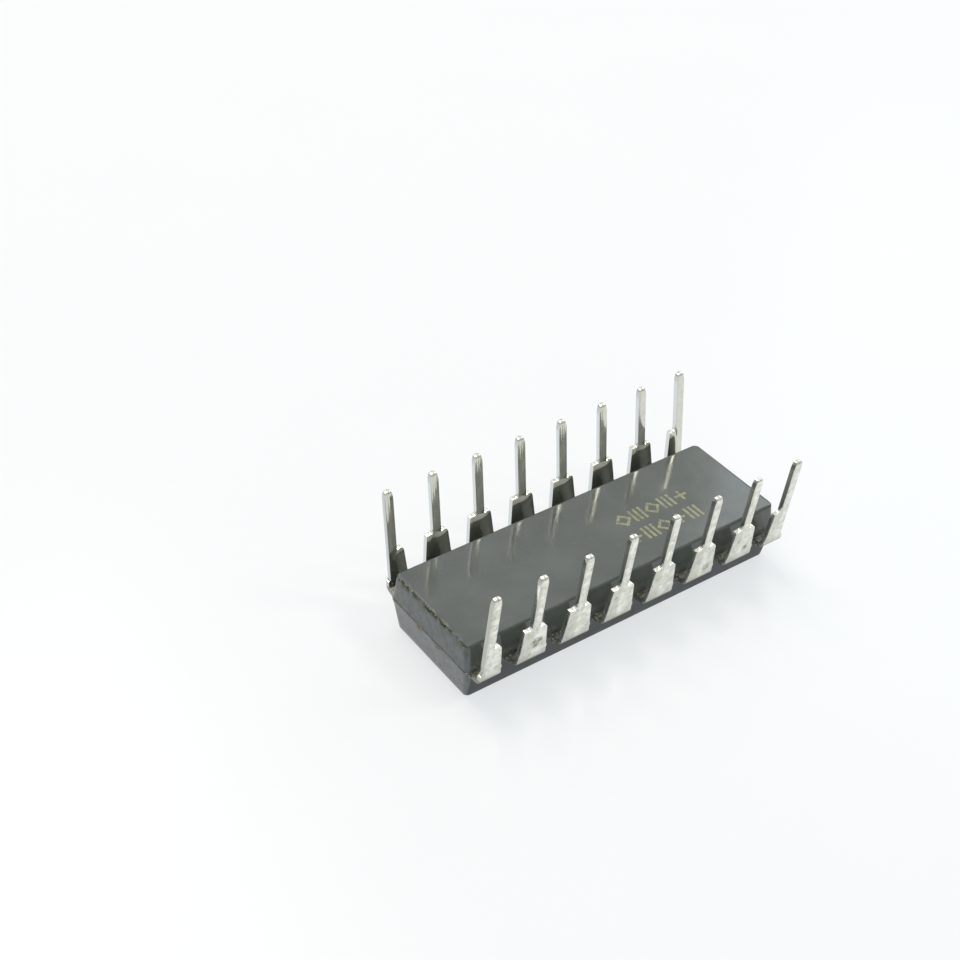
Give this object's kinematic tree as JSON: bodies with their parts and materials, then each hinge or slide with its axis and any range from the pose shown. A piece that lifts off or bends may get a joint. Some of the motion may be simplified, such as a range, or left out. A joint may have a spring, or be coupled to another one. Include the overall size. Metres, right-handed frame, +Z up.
{
  "type": "dual in-line package integrated circuit",
  "caption": "Moulded dual in-line package chip with two rows of bent leads that have wide shoulders and pointed pins, lying on its marked face.",
  "frame": {"origin": "middle of the marked face, which is the face that it lies on", "axes": "+X along the lead rows towards the index notch, +Y across the rows, +Z up from the marked face, the way the pins point"},
  "size_m": [0.0188, 0.009, 0.0072],
  "materials": {
    "moulding": "smooth moulded epoxy, faintly glossy",
    "tinned_lead": "dull tin plate, slightly dirty",
    "pad_metal": "bare copper alloy",
    "adhesive": "silver-filled epoxy",
    "silicon": "polished silicon",
    "gold_wire": "drawn gold"
  },
  "bodies": {
    "root": {"body": "moulding", "die_pad": "pad_metal", "die_attach": "adhesive", "die": "silicon", "lead_01": "tinned_lead", "lead_02": "tinned_lead", "lead_03": "tinned_lead", "lead_04": "tinned_lead", "lead_05": "tinned_lead", "lead_06": "tinned_lead", "lead_07": "tinned_lead", "lead_08": "tinned_lead", "lead_09": "tinned_lead", "lead_10": "tinned_lead", "lead_11": "tinned_lead", "lead_12": "tinned_lead", "lead_13": "tinned_lead", "lead_14": "tinned_lead", "lead_15": "tinned_lead", "lead_16": "tinned_lead", "wire_01": "gold_wire", "wire_02": "gold_wire", "wire_03": "gold_wire", "wire_04": "gold_wire", "wire_05": "gold_wire", "wire_06": "gold_wire", "wire_07": "gold_wire", "wire_08": "gold_wire", "wire_09": "gold_wire", "wire_10": "gold_wire", "wire_11": "gold_wire", "wire_12": "gold_wire", "wire_13": "gold_wire", "wire_14": "gold_wire", "wire_15": "gold_wire", "wire_16": "gold_wire"}
  },
  "joints": []
}
